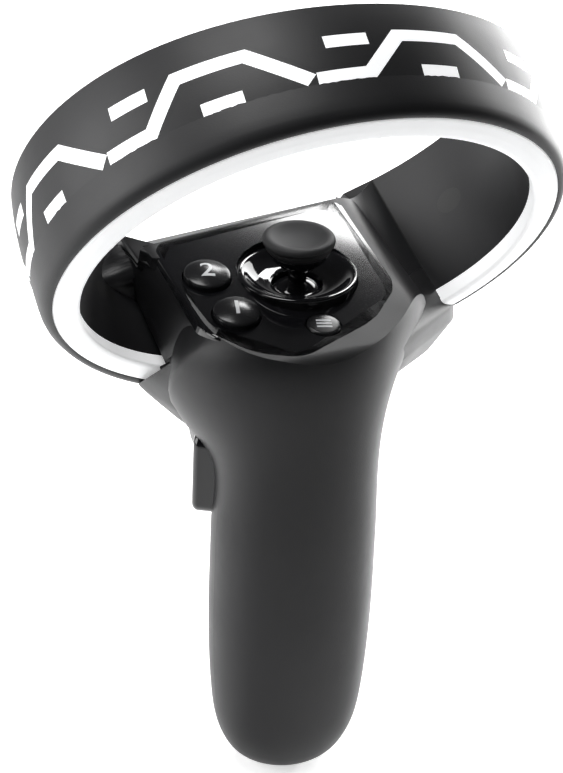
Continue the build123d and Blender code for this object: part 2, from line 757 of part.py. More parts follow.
# Housing of the stick: an open square cup with bearing holes for the gimbal's pins.
with BuildPart() as stick_housing:
    with BuildSketch(PIVOT.offset(-HOUSING_DEPTH)):
        Rectangle(2 * housing_half, 2 * housing_half)
    extrude(amount=HOUSING_DEPTH + HOUSING_RIM)
    with BuildSketch(PIVOT.offset(-HOUSING_DEPTH + HOUSING_WALL)):
        Rectangle(2 * HOUSING_ROOM, 2 * HOUSING_ROOM)
    extrude(amount=HOUSING_DEPTH + HOUSING_RIM, mode=Mode.SUBTRACT)
    with BuildSketch(Plane(PIVOT.origin, x_dir=(0, 1, 0), z_dir=(1, 0, 0))):
        Circle(GIMBAL_PIN_RADIUS + PIN_GAP)
    extrude(amount=housing_half + OVERRUN, both=True, mode=Mode.SUBTRACT)
finish(stick_housing, "stick_housing")

stick_foot = PIVOT.offset(-HOUSING_DEPTH + HOUSING_WALL)
with BuildPart() as stick_switch:
    with BuildSketch(stick_foot):
        Rectangle(2 * SWITCH_SIDE, 2 * SWITCH_SIDE)
    extrude(amount=HOUSING_DEPTH - HOUSING_WALL - STICK_TAIL - BUTTON_TRAVEL)
finish(stick_switch, "stick_switch")

with BuildPart() as potentiometers:
    for direction in ((1, 0, 0), (0, 1, 0)):
        with BuildSketch(Plane(PIVOT.origin, z_dir=direction).offset(housing_half)):
            Circle(POT_RADIUS)
            Circle(GIMBAL_PIN_RADIUS + PIN_GAP, mode=Mode.SUBTRACT)
        extrude(amount=POT_THICKNESS)
finish(potentiometers, "potentiometers")

# Panel board under the platform, with a dome switch below each button.
with BuildPart() as panel_board:
    with BuildSketch(BOARD):
        add(panel_outline(2 * WALL))
    extrude(amount=-BOARD_THICKNESS)
    add(room.part, mode=Mode.INTERSECT)
    with BuildSketch(STICK.offset(-REACH / 2)):
        Rectangle(2 * (housing_half + RUNNING_GAP), 2 * (housing_half + RUNNING_GAP))
        with Locations((housing_half, 0), (0, housing_half)):
            Rectangle(2 * (POT_THICKNESS + RUNNING_GAP), 2 * (POT_RADIUS + RUNNING_GAP))
            Rectangle(2 * (POT_RADIUS + RUNNING_GAP), 2 * (POT_THICKNESS + RUNNING_GAP))
    extrude(amount=REACH, mode=Mode.SUBTRACT)
finish(panel_board, "panel_board")

with BuildPart() as dome_switches:
    for name, place, radius, proud in button_places:
        with BuildSketch(BOARD):
            with Locations(place):
                Circle(DOME_SWITCH_RADIUS)
        extrude(amount=DOME_SWITCH_HEIGHT)
    fillet(dome_switches.faces().group_by(Axis(BOARD.origin, BOARD.z_dir))[-1].edges(),
           DOME_SWITCH_HEIGHT / 2)
finish(dome_switches, "dome_switches")

# Buttons: a crowned cap with a flange that the shell holds down.
for name, place, radius, proud in button_places:
    with BuildPart() as button:
        with BuildSketch(PLATFORM.offset(-BUTTON_SKIRT)):
            with Locations(place):
                Circle(radius)
        extrude(amount=BUTTON_SKIRT + proud)
        crown_edges = button.edges().sort_by(Axis(PLATFORM.origin, PLATFORM.z_dir))[-1]
        fillet(crown_edges, min(BUTTON_CROWN, proud * EDGE_SHARE))
        with BuildSketch(PLATFORM.offset(-BUTTON_SKIRT)):
            with Locations(place):
                Circle(radius + RUNNING_GAP + BUTTON_FLANGE)
        extrude(amount=BUTTON_FLANGE_THICKNESS)
    finish(button, name)

# Trigger: a root round its pin and a blade that sweeps down and back.
front_share, front_drop = TRIGGER_FRONT_SHARES
back_share, middle_share = TRIGGER_BACK_SHARES
with BuildPart() as trigger:
    with BuildSketch(TRIGGER):
        with BuildLine():
            front = Line(
                (0, -TRIGGER_ROOT_RADIUS),
                (front_share * TRIGGER_REACH, -front_drop * TRIGGER_ROOT_RADIUS),
            )
            tip = ThreePointArc(
                front @ 1,
                (TRIGGER_REACH, 0),
                (back_share * TRIGGER_REACH, (TRIGGER_TIP_THICKNESS + TRIGGER_BEND) / 2),
            )
            back = ThreePointArc(
                tip @ 1,
                (middle_share * TRIGGER_REACH, TRIGGER_TIP_THICKNESS / 4),
                (0, TRIGGER_ROOT_RADIUS),
            )
            ThreePointArc(back @ 1, (-TRIGGER_ROOT_RADIUS, 0), front @ 0)
        make_face()
    extrude(amount=TRIGGER_HALF_WIDTH, both=True)
    cheeks = trigger.faces().sort_by(Axis.X)
    fillet(cheeks[0].edges() + cheeks[-1].edges(), TRIGGER_EDGE)
    with BuildSketch(TRIGGER):
        Circle(TRIGGER_PIN_RADIUS + PIN_GAP)
    extrude(amount=TRIGGER_HALF_WIDTH + OVERRUN, both=True, mode=Mode.SUBTRACT)
    with BuildSketch(TRIGGER):
        Rectangle(4 * TRIGGER_ROOT_RADIUS, 3 * TRIGGER_ROOT_RADIUS, align=(Align.MAX, Align.CENTER))
        Circle(TRIGGER_PIN_RADIUS + SPRING_GAP + SPRING_WIRE + RUNNING_GAP)
    extrude(amount=SPRING_LENGTH / 2 + RUNNING_GAP, both=True, mode=Mode.SUBTRACT)
finish(trigger, "trigger")

with BuildPart() as trigger_pin:
    with BuildSketch(TRIGGER):
        Circle(TRIGGER_PIN_RADIUS)
    extrude(amount=ear_half, both=True)
finish(trigger_pin, "trigger_pin")

with BuildPart() as trigger_spring:
    with BuildSketch(TRIGGER):
        Circle(TRIGGER_PIN_RADIUS + SPRING_GAP + SPRING_WIRE)
        Circle(TRIGGER_PIN_RADIUS + SPRING_GAP, mode=Mode.SUBTRACT)
    extrude(amount=SPRING_LENGTH / 2, both=True)
finish(trigger_spring, "trigger_spring")

# Grip button: a rounded pad with end tongues behind the wall and a post to its switch.
with BuildPart() as grip_button:
    with BuildSketch(SQUEEZE):
        RectangleRounded(SQUEEZE_WIDTH, SQUEEZE_HEIGHT, SQUEEZE_CORNER)
    extrude(amount=-SQUEEZE_DEPTH)
    pad_face = grip_button.faces().sort_by(Axis(SQUEEZE.origin, SQUEEZE.z_dir))[-1]
    fillet(pad_face.edges(), SQUEEZE_CORNER / 2)
    with BuildSketch(SQUEEZE.offset(-SQUEEZE_DEPTH)):
        Rectangle(SQUEEZE_WIDTH / 2, SQUEEZE_HEIGHT + 4 * SQUEEZE_FLANGE)
    extrude(amount=SQUEEZE_FLANGE * EDGE_SHARE)
    with BuildSketch(SQUEEZE.offset(-SQUEEZE_DEPTH)):
        Circle(SQUEEZE_FLANGE)
    extrude(amount=-2 * SQUEEZE_TRAVEL)
finish(grip_button, "grip_button")

# Charging socket at the foot.
with BuildPart() as charging_socket:
    with BuildSketch(SOCKET.offset(SOCKET_SKIN)):
        SlotOverall(2 * (SOCKET_HALF_WIDTH - PIN_GAP), 2 * (SOCKET_HALF_HEIGHT - PIN_GAP))
    extrude(amount=SOCKET_LENGTH)
    with BuildSketch(SOCKET):
        SlotOverall(2 * (SOCKET_HALF_WIDTH - SOCKET_SKIN), 2 * (SOCKET_HALF_HEIGHT - SOCKET_SKIN))
    extrude(amount=SOCKET_LENGTH - SOCKET_SKIN, mode=Mode.SUBTRACT)
finish(charging_socket, "charging_socket")

# Cell in two saddles that fill the grip, with the main board standing on the upper one.
saddle_feet = (CELL_FOOT + CELL_RADIUS, CELL_FOOT + CELL_LENGTH + RUNNING_GAP - CRADLE_BAND)
CELL = Plane.XY.offset(CELL_FOOT)
with BuildPart() as battery_cell:
    with BuildSketch(CELL):
        Circle(CELL_RADIUS)
    extrude(amount=CELL_LENGTH)
    fillet(battery_cell.edges(), CRADLE_WALL)
finish(battery_cell, "battery_cell")

with BuildPart() as cell_saddles:
    with BuildSketch(*[Plane.XY.offset(foot) for foot in saddle_feet]):
        Rectangle(REACH, REACH)
    extrude(amount=CRADLE_BAND)
    add(seat_room.part, mode=Mode.INTERSECT)
    with BuildSketch(CELL):
        Circle(CELL_RADIUS + RUNNING_GAP)
    extrude(amount=CELL_LENGTH + RUNNING_GAP, mode=Mode.SUBTRACT)
finish(cell_saddles, "cell_saddles")

board_foot = saddle_feet[1] + CRADLE_BAND + RUNNING_GAP
with BuildPart() as main_board:
    with BuildSketch(Plane.XY.offset(board_foot)):
        Rectangle(2 * MAIN_BOARD_HALF_WIDTH, BOARD_THICKNESS)
    extrude(amount=MAIN_BOARD_LENGTH)
finish(main_board, "main_board")

MOTOR = Plane(origin=(0, -BOARD_THICKNESS / 2 - RUNNING_GAP, motor_height), z_dir=(0, -1, 0))
with BuildPart() as vibration_motor:
    with BuildSketch(MOTOR):
        Circle(MOTOR_RADIUS)
    extrude(amount=MOTOR_THICKNESS)
finish(vibration_motor, "vibration_motor")

switch_face = SQUEEZE_OUT - SQUEEZE_DEPTH - 2 * SQUEEZE_TRAVEL
switch_right = -switch_face * cos(radians(SQUEEZE_ANGLE)) + SQUEEZE_TRAVEL + SQUEEZE_FLANGE
with BuildPart() as grip_switch:
    with BuildSketch(Plane.XY.offset(squeeze_height - SWITCH_SIDE / 2)):
        with Locations((switch_right, BOARD_THICKNESS / 2 + RUNNING_GAP)):
            Rectangle(SWITCH_SIDE, 2 * SWITCH_SIDE, align=(Align.MIN, Align.MIN))
    extrude(amount=SWITCH_SIDE)
finish(grip_switch, "grip_switch")

# The frame that all pieces share stands the wand on the foot of its grip.
whole = Compound(children=[piece.moved(Location()) for piece in pieces])
bounds = whole.bounding_box()
frame_shift = Location((-bounds.center().X, -bounds.center().Y, -bounds.min.Z))
for piece in pieces:
    placed = piece.moved(frame_shift)
    placed.label = piece.label
    export_step(placed, "parts/" + piece.label + ".step")
print("frame origin in model:", bounds.center().X, bounds.center().Y, bounds.min.Z, bounds.size)
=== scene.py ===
import bmesh
import bpy
from math import atan2, cos, degrees, hypot, pi, radians, sin
from mathutils import Matrix, Vector


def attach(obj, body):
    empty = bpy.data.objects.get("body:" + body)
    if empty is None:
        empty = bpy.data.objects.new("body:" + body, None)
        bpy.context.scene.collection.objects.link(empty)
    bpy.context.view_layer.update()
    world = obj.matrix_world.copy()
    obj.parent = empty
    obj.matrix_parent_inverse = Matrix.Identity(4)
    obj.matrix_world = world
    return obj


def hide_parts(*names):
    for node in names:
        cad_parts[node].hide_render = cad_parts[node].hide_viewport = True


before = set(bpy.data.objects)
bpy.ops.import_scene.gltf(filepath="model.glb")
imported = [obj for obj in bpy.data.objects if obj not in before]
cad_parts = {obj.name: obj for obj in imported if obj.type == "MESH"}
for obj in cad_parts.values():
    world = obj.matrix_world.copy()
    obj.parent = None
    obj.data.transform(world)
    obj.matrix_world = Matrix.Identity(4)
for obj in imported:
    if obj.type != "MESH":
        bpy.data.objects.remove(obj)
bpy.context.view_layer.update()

# Stage: a pale floor that the wand's foot stands on, a world that shows white behind
# it, five softboxes, and the camera where the photograph was taken, high on the left.
mm = 0.001
model_shift = Vector((1.0159, 13.6378, 0.0))


def spot(x, y, z):
    """A place given in millimetres from the grip's axis, in the row frame."""
    return (Vector((x, y, z)) - model_shift) * mm


def put(form, name, slot=None, body="root", replaced=(), paint=None):
    """Makes an object of a form, hangs it on its body when it has a slot, and hides the nodes it replaces.
    """
    mesh = bpy.data.meshes.new(name)
    form.to_mesh(mesh)
    form.free()
    if paint:
        mesh.materials.append(paint)
    piece = bpy.data.objects.new(name, mesh)
    bpy.context.scene.collection.objects.link(piece)
    if slot:
        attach(piece, body)
    if replaced:
        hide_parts(*replaced)
    return piece


def seen_by(nodes, links, shown, lit, kinds):
    """Mixes what some kinds of ray see with what lights the object."""
    path = nodes.new("ShaderNodeLightPath")
    share = path.outputs[kinds[0]]
    for kind in kinds[1:]:
        larger = nodes.new("ShaderNodeMath")
        larger.operation = "MAXIMUM"
        links.new(share, larger.inputs[0])
        links.new(path.outputs[kind], larger.inputs[1])
        share = larger.outputs[0]
    mix = nodes.new("ShaderNodeMixShader")
    links.new(share, mix.inputs["Fac"])
    links.new(lit, mix.inputs[1])
    links.new(shown, mix.inputs[2])
    return mix.outputs["Shader"]


def fade(nodes, links, measure, first, last, low, high):
    """Goes smoothly from low to high while a measure goes from first to last."""
    step = nodes.new("ShaderNodeMapRange")
    step.interpolation_type = "SMOOTHSTEP"
    for label, value in (("From Min", first), ("From Max", last), ("To Min", low), ("To Max", high)):
        step.inputs[label].default_value = value
    links.new(measure, step.inputs["Value"])
    return step.outputs["Result"]


def add_glow(nodes, links, shader, glow):
    """A shader's output with a glow added to it."""
    both = nodes.new("ShaderNodeAddShader")
    links.new(shader, both.inputs[0])
    links.new(glow.outputs["Emission"], both.inputs[1])
    return both.outputs["Shader"]


def math_node(nodes, links, kind, first, second):
    """One arithmetic step; a socket is linked and a number is set."""
    step = nodes.new("ShaderNodeMath")
    step.operation = kind
    for place, value in enumerate((first, second)):
        if isinstance(value, (int, float)):
            step.inputs[place].default_value = value
        else:
            links.new(value, step.inputs[place])
    return step.outputs[0]


shown_kinds = ("Is Camera Ray", "Is Transmission Ray")
mirrored_kinds = ("Is Glossy Ray",)
floor_paint = bpy.data.materials.new("floor_white")
floor_paint.use_nodes = True
floor_nodes, floor_links = floor_paint.node_tree.nodes, floor_paint.node_tree.links
floor_shader = floor_nodes["Principled BSDF"]
floor_shader.inputs["Base Color"].default_value = (0.93, 0.93, 0.93, 1.0)
floor_shader.inputs["Roughness"].default_value = 0.6
floor_lit = floor_shader.outputs["BSDF"]
floor_glow = floor_nodes.new("ShaderNodeEmission")
floor_glow.inputs["Strength"].default_value = 0.62
floor_shown = add_glow(floor_nodes, floor_links, floor_lit, floor_glow)
floor_place = floor_nodes.new("ShaderNodeSeparateXYZ")
floor_links.new(floor_nodes.new("ShaderNodeTexCoord").outputs["Object"], floor_place.inputs[0])
floor_fade = fade(floor_nodes, floor_links, floor_place.outputs["Y"], -0.30, 0.10, 0.04, 0.62)
floor_mirror_glow = floor_nodes.new("ShaderNodeEmission")
floor_links.new(floor_fade, floor_mirror_glow.inputs["Strength"])
floor_mirrored = add_glow(floor_nodes, floor_links, floor_lit, floor_mirror_glow)
floor_mix = seen_by(floor_nodes, floor_links, floor_mirrored, floor_lit, mirrored_kinds)
floor_mix = seen_by(floor_nodes, floor_links, floor_shown, floor_mix, shown_kinds)
floor_links.new(floor_mix, floor_nodes["Material Output"].inputs["Surface"])
floor_form = bmesh.new()
bmesh.ops.create_grid(floor_form, x_segments=1, y_segments=1, size=3.0)
floor = put(floor_form, "floor", paint=floor_paint)

world = bpy.data.worlds.new("studio")
bpy.context.scene.world = world
world.use_nodes = True
sky, sky_links = world.node_tree.nodes, world.node_tree.links
room_light = sky["Background"]
room_light.inputs["Color"].default_value = (0.80, 0.82, 0.86, 1.0)
room_light.inputs["Strength"].default_value = 0.07
backdrop_white = sky.new("ShaderNodeBackground")
backdrop_white.inputs["Color"].default_value = (1.0, 1.0, 1.0, 1.0)
sky_place = sky.new("ShaderNodeSeparateXYZ")
sky_links.new(sky.new("ShaderNodeTexCoord").outputs["Generated"], sky_place.inputs[0])
sky_fade = fade(sky, sky_links, sky_place.outputs["Z"], 0.0, 0.42, 1.0, 0.05)
sky_side = fade(sky, sky_links, sky_place.outputs["Y"], -0.35, 0.35, 0.10, 1.0)
mirror_light = sky.new("ShaderNodeBackground")
sky_links.new(math_node(sky, sky_links, "MULTIPLY", sky_fade, sky_side), mirror_light.inputs["Strength"])
sky_mix = seen_by(
    sky, sky_links, mirror_light.outputs["Background"], room_light.outputs["Background"], mirrored_kinds,
)
sky_mix = seen_by(sky, sky_links, backdrop_white.outputs["Background"], sky_mix, shown_kinds)
sky_links.new(sky_mix, sky["World Output"].inputs["Surface"])

for name, place, width, height, spread, power, aim in (
    ("left_softbox", (-440, 130, 250), 0.34, 0.34, 180.0, 2.0, (0, 20, 110)),
    ("right_side", (370, 190, 160), 0.34, 0.34, 180.0, 2.6, (0, 0, 60)),
    ("right_strip", (350, 200, 35), 0.34, 0.05, 14.0, 0.5, (0, 0, 35)),
    ("back_softbox", (272, 399, 446), 0.14, 0.14, 180.0, 1.1, (0, 20, 110)),
    ("top_softbox", (-120, 40, 520), 0.22, 0.22, 180.0, 1.4, (0, 20, 110)),
):
    lamp = bpy.data.lights.new(name, "AREA")
    lamp.shape = "RECTANGLE"
    lamp.size = width
    lamp.size_y = height
    lamp.spread = radians(spread)
    lamp.energy = power
    softbox = bpy.data.objects.new(name, lamp)
    bpy.context.scene.collection.objects.link(softbox)
    softbox.location = spot(*place)
    softbox.rotation_euler = (spot(*aim) - softbox.location).to_track_quat("-Z", "Y").to_euler()

view_out = Vector((-0.366, -0.785, 0.5)).normalized()
view_level = Vector((0.9063, -0.4226, 0.0))
view_rise = Vector((0.2113, 0.4532, 0.8660))
view_roll = radians(2.5)
view_right = cos(view_roll) * view_level + sin(view_roll) * view_rise
view_up = -sin(view_roll) * view_level + cos(view_roll) * view_rise
view_turn = Matrix((view_right, view_up, view_out)).transposed().to_4x4()
view_middle = spot(-1.66, 5.9, 93.05)
view_distance = 0.7
photo_height, pixels_per_mm = 773, 4.6
camera_data = bpy.data.cameras.new("camera")
camera_data.sensor_fit = "VERTICAL"
camera_data.sensor_height = 36.0
camera_data.lens = camera_data.sensor_height * view_distance / (photo_height / pixels_per_mm * mm)
camera = bpy.data.objects.new("camera", camera_data)
bpy.context.scene.collection.objects.link(camera)
camera.matrix_world = Matrix.Translation(view_middle + view_out * view_distance) @ view_turn
bpy.context.scene.camera = camera
bpy.context.scene.view_settings.view_transform = "Standard"


# Shells: the two halves of the grip and head, moulded in black plastic whose tool
# was spark-eroded to a fine grain, and clipped together along the flank. The effect
# of that grain, with slow clouds where hands have polished it, is shared by all plastics.
def effect_group(name, inputs, outputs):
    """A node group for an effect that several finishes share."""
    group = bpy.data.node_groups.new(name, "ShaderNodeTree")
    for label, kind, value in inputs:
        made = group.interface.new_socket(label, in_out="INPUT", socket_type=kind)
        if value is not None:
            made.default_value = value
    for label, kind in outputs:
        group.interface.new_socket(label, in_out="OUTPUT", socket_type=kind)
    enter = group.nodes.new("NodeGroupInput")
    leave = group.nodes.new("NodeGroupOutput")
    return group, group.nodes, group.links, enter, leave


grain, grain_nodes, grain_links, grain_in, grain_out = effect_group(
    "moulded_grain",
    (
        ("Color", "NodeSocketColor", None),
        ("Roughness", "NodeSocketFloat", 0.5),
        ("Grain Size", "NodeSocketFloat", 0.4),
        ("Grain Depth", "NodeSocketFloat", 0.1),
        ("Cloudiness", "NodeSocketFloat", 0.1),
    ),
    (("Color", "NodeSocketColor"), ("Roughness", "NodeSocketFloat"), ("Normal", "NodeSocketVector")),
)
grain_place = grain_nodes.new("ShaderNodeTexCoord")
grain_scale = math_node(grain_nodes, grain_links, "DIVIDE", 1000.0, grain_in.outputs["Grain Size"])
fine_noise = grain_nodes.new("ShaderNodeTexNoise")
fine_noise.inputs["Detail"].default_value = 2.0
grain_links.new(grain_place.outputs["Object"], fine_noise.inputs["Vector"])
grain_links.new(grain_scale, fine_noise.inputs["Scale"])
slow_noise = grain_nodes.new("ShaderNodeTexNoise")
slow_noise.inputs["Scale"].default_value = 90.0
slow_noise.inputs["Detail"].default_value = 4.0
grain_links.new(grain_place.outputs["Object"], slow_noise.inputs["Vector"])


def swing(noise, share):
    """How far a noise stands from its middle, times one of the group's inputs."""
    centred = math_node(grain_nodes, grain_links, "SUBTRACT", noise.outputs["Fac"], 0.5)
    return math_node(grain_nodes, grain_links, "MULTIPLY", centred, grain_in.outputs[share])


cloud = swing(slow_noise, "Cloudiness")
speckle = swing(fine_noise, "Grain Depth")
both_swings = math_node(grain_nodes, grain_links, "ADD", cloud, speckle)
tinted = grain_nodes.new("ShaderNodeVectorMath")
tinted.operation = "SCALE"
grain_links.new(grain_in.outputs["Color"], tinted.inputs[0])
grain_links.new(math_node(grain_nodes, grain_links, "ADD", both_swings, 1.0), tinted.inputs["Scale"])
grain_links.new(tinted.outputs["Vector"], grain_out.inputs["Color"])
clouded = math_node(grain_nodes, grain_links, "ADD", grain_in.outputs["Roughness"], cloud)
grain_links.new(clouded, grain_out.inputs["Roughness"])
grain_bump = grain_nodes.new("ShaderNodeBump")
grain_bump.inputs["Distance"].default_value = 0.00012
grain_links.new(fine_noise.outputs["Fac"], grain_bump.inputs["Height"])
grain_links.new(grain_in.outputs["Grain Depth"], grain_bump.inputs["Strength"])
grain_links.new(grain_bump.outputs["Normal"], grain_out.inputs["Normal"])


def plastic(name, color, roughness, size=0.4, depth=0.15, clouds=0.12, **sockets):
    """A moulded plastic whose grain comes from the shared group."""
    paint = bpy.data.materials.new(name)
    paint.use_nodes = True
    nodes, links = paint.node_tree.nodes, paint.node_tree.links
    shader = nodes["Principled BSDF"]
    skin = nodes.new("ShaderNodeGroup")
    skin.node_tree = grain
    skin.inputs["Color"].default_value = (*color, 1.0)
    skin.inputs["Roughness"].default_value = roughness
    skin.inputs["Grain Size"].default_value = size
    skin.inputs["Grain Depth"].default_value = depth
    skin.inputs["Cloudiness"].default_value = clouds
    links.new(skin.outputs["Color"], shader.inputs["Base Color"])
    links.new(skin.outputs["Roughness"], shader.inputs["Roughness"])
    links.new(skin.outputs["Normal"], shader.inputs["Normal"])
    for label, value in sockets.items():
        shader.inputs[label.replace("_", " ")].default_value = value
    return paint


def shaded(form, turn=34.0):
    """Smooth faces, with an edge where two of them turn by more than that."""
    for face in form.faces:
        face.smooth = True
    for edge in form.edges:
        edge.smooth = len(edge.link_faces) == 2 and edge.calc_face_angle(0.0) < radians(turn)
    return form


def smooth_copy(node, name, slot, body, paint, carve=None, extra=()):
    """A merged copy of a CAD node, carved and added to, and shaded smooth up to its real edges."""
    form = bmesh.new()
    form.from_mesh(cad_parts[node].data)
    bmesh.ops.remove_doubles(form, verts=form.verts, dist=1e-6)
    if carve:
        carve(form)
    for part in extra:
        added = bpy.data.meshes.new(name + "_part")
        part.to_mesh(added)
        part.free()
        form.from_mesh(added)
    for face in form.faces:
        face.material_index = 0
    put(shaded(form), name, slot, body, (node,), paint)


platform_slope = radians(9.0)
platform_turn = Matrix((
    (1.0, 0.0, 0.0),
    (0.0, cos(platform_slope), -sin(platform_slope)),
    (0.0, sin(platform_slope), cos(platform_slope)),
)).to_4x4()
platform_place = Matrix.Translation(spot(0.0, 14.1, 115.5)) @ platform_turn @ Matrix.Scale(mm, 4)
ring_tilt, ring_yaw = radians(57.4), radians(3.9)
ring_away = Vector((sin(ring_tilt) * sin(ring_yaw), sin(ring_tilt) * cos(ring_yaw), cos(ring_tilt)))
ring_right = Vector((cos(ring_yaw), -sin(ring_yaw), 0.0))
ring_turn = Matrix((ring_right, ring_away.cross(ring_right), ring_away)).transposed().to_4x4()
ring_place = Matrix.Translation(spot(0.0, 0.8, 129.25)) @ ring_turn @ Matrix.Scale(mm, 4)
ring_inverse, platform_inverse = ring_place.inverted(), platform_place.inverted()
left_joint, right_joint = -33.0, 52.0
seam_radius, band_width = 49.35, 30.0


def lean_in(place, share=1.0):
    """Leans the ring's top over the hand, narrows it there and slants its two joints."""
    top_lean, joint_reach = 3.4, 30.0
    left_turn, left_slant, right_slant = 6.0, 7.0, 8.0
    swell, swell_start, swell_rise = 2.8, 53.0, 3.0
    angle, radius = degrees(atan2(place.x, place.y)), hypot(place.x, place.y)
    around = radians(angle)
    away = place.z / band_width
    # The band's width on its way round, read from the photograph, as a share of its full width.
    width = (
        0.921 + 0.144 * cos(around) + 0.061 * sin(around)
        - 0.025 * cos(2.0 * around) + 0.072 * sin(2.0 * around)
    )
    rise = (1.0 - cos(around)) / 2.0
    depth = place.z * width - top_lean * rise * (1.0 - away)
    near_left = max(1.0 - abs(angle - left_joint) / joint_reach, 0.0) ** 2
    near_right = max(1.0 - abs(angle - right_joint) / joint_reach, 0.0) ** 2
    turn = radians(angle + near_left * (left_turn - left_slant * away) - near_right * right_slant * away)
    if radius > swell_start:
        outside = min((radius - swell_start) / swell_rise, 1.0)
        radius += near_left * swell * max(1.0 - abs(away), 0.0) * outside
    leant = Vector((radius * sin(turn), radius * cos(turn), depth))
    return place.lerp(leant, share)


def on_ring(angle, radius, depth):
    """A place by the ring's own measures: degrees from its foot, radius and depth."""
    place = Vector((radius * sin(radians(angle)), radius * cos(radians(angle)), depth))
    return ring_place @ lean_in(place)


def lean_ring(form):
    """Leans every point of a piece of the ring."""
    for point in form.verts:
        point.co = ring_place @ lean_in(ring_inverse @ point.co)


def on_platform(x, y, height):
    """A place by the platform's own measures, from its middle."""
    return platform_place @ Vector((x, y, height))


def on_throat(angle):
    """A place on the neck's oval section under the head, which leans back."""
    half_width, half_depth, lean = 24.0, 26.4, radians(48.5)
    across, down = half_width * cos(radians(angle)), half_depth * sin(radians(angle))
    return spot(across, 2.5 + down * cos(lean), 93.0 - down * sin(lean))


def hull(points, passes):
    """A closed convex piece through points, its faces divided three times and rounded a little."""
    form = bmesh.new()
    for point in points:
        form.verts.new(point)
    made = bmesh.ops.convex_hull(form, input=form.verts)
    loose = [v for v in made["geom_interior"] if isinstance(v, bmesh.types.BMVert)]
    bmesh.ops.delete(form, geom=loose, context="VERTS")
    bmesh.ops.triangulate(form, faces=form.faces)
    for _ in range(3):
        bmesh.ops.subdivide_edges(form, edges=form.edges, cuts=1, use_grid_fill=True)
    for _ in range(passes):
        bmesh.ops.smooth_vert(
            form, verts=form.verts, factor=0.5, use_axis_x=True, use_axis_y=True, use_axis_z=True,
        )
    bmesh.ops.recalc_face_normals(form, faces=form.faces)
    return form


def cut_at(form, near, far):
    """Cuts off what the photograph's camera sees to the left of the line from near to far."""
    left = (far - near).cross(view_out).normalized()
    if left.dot(view_right) > 0.0:
        left.negate()
    bmesh.ops.bisect_plane(
        form, geom=form.verts[:] + form.edges[:] + form.faces[:], plane_co=near, plane_no=left,
        clear_outer=True,
    )
    bmesh.ops.holes_fill(form, edges=[edge for edge in form.edges if edge.is_boundary], sides=0)
    bmesh.ops.recalc_face_normals(form, faces=form.faces)
    return form


arm_far, arm_near = on_ring(left_joint, seam_radius, band_width), on_ring(left_joint, seam_radius, 0.0)
arm_out = (arm_near - arm_far).cross(on_platform(-22.6, 2.0, -0.3) - arm_far).normalized()
if arm_out.dot(view_out) < 0.0:
    arm_out.negate()


def fit_to_ring(point):
    """Leans the arc of the head that meets the ring, the more the nearer it is to the ring."""
    arc_start, blend, half_arc = 45.0, 4.2, 60.0
    place = ring_inverse @ point.co
    share = min(max((hypot(place.x, place.y) - arc_start) / blend, 0.0), 1.0)
    if place.z > -0.5 and share > 0.0 and abs(degrees(atan2(place.x, place.y))) < half_arc:
        point.co = ring_place @ lean_in(place, share)


def lay_on_arm(point, by_ring):
    """Lowers what stands out of the plane from the panel's left side to the left joint."""
    panel_side, side_blend, near_depth, depth_blend = -14.0, 4.0, -12.0, 11.0
    plane_depth, inner_radius = 0.3, 49.1
    side = (platform_inverse @ point.co).x
    height = (point.co - arm_far).dot(arm_out) + plane_depth * mm
    inside = side < panel_side and by_ring.z > near_depth and hypot(by_ring.x, by_ring.y) < inner_radius
    if height > 0.0 and inside:
        depth_share = min((by_ring.z - near_depth) / depth_blend, 1.0)
        side_share = min((panel_side - side) / side_blend, 1.0)
        point.co -= arm_out * height * (depth_share * side_share)


def draw_in_back(point, by_ring):
    """Draws the head's back edge in until it runs along the panel's, less so further down."""
    middle, half_width, clear_of_ring = 2.0, 31.0, 46.0
    blend_start, blend_end = 3.0, 18.0
    place = platform_inverse @ point.co
    # Where the panel's back edge and the head's own back edge run, at this distance to the side.
    edge = 17.6 + 0.1176 * (place.x + 21.0)
    back = 28.68 - 0.0627 * place.x
    beside = abs(place.x - middle) < half_width and hypot(by_ring.x, by_ring.y) < clear_of_ring
    if place.y > edge and place.z > -blend_end and beside:
        share = min(max((-place.z - blend_start) / (blend_end - blend_start), 0.0), 1.0)
        share = share * share * (3.0 - 2.0 * share)
        near = edge + (place.y - edge) / (back - edge)
        place.y = near + (place.y - near) * share
        point.co = platform_place @ place


def trim_head(form):
    """Fits the head to the ring, to the plane of its left arm and to the panel's back edge."""
    for point in form.verts:
        fit_to_ring(point)
        by_ring = ring_inverse @ point.co
        lay_on_arm(point, by_ring)
        draw_in_back(point, by_ring)


def cove(joint, under, side, first, span, sink):
    """Fills the groove between one side of the platform and the ring's inside at a joint."""
    steps, wall_radius, below_edge = 8, 52.0, Vector((0.08 * side, 0.0, 9.0))
    form = bmesh.new()
    loops = []
    for share in (0.0, 0.25, 0.5, 0.75, 1.0):
        edge = on_platform(side, first + span * share, -0.15)
        seam = on_ring(joint, seam_radius, band_width * share)
        line = []
        for step in range(steps + 1):
            along = step / steps
            sag = sink * mm * sin(pi * along)
            line.append(edge.lerp(seam, along) - Vector((0.0, 0.0, sag)))
        line.append(on_ring(joint + under, wall_radius, band_width * share))
        line.append(edge - below_edge * mm)
        points = [form.verts.new(place) for place in line]
        loops.append([form.edges.new(pair) for pair in zip(points, points[1:] + points[:1])])
    for nearer, farther in zip(loops, loops[1:]):
        bmesh.ops.bridge_loops(form, edges=nearer + farther)
    bmesh.ops.holes_fill(form, edges=form.edges, sides=0)
    bmesh.ops.recalc_face_normals(form, faces=form.faces)
    return form


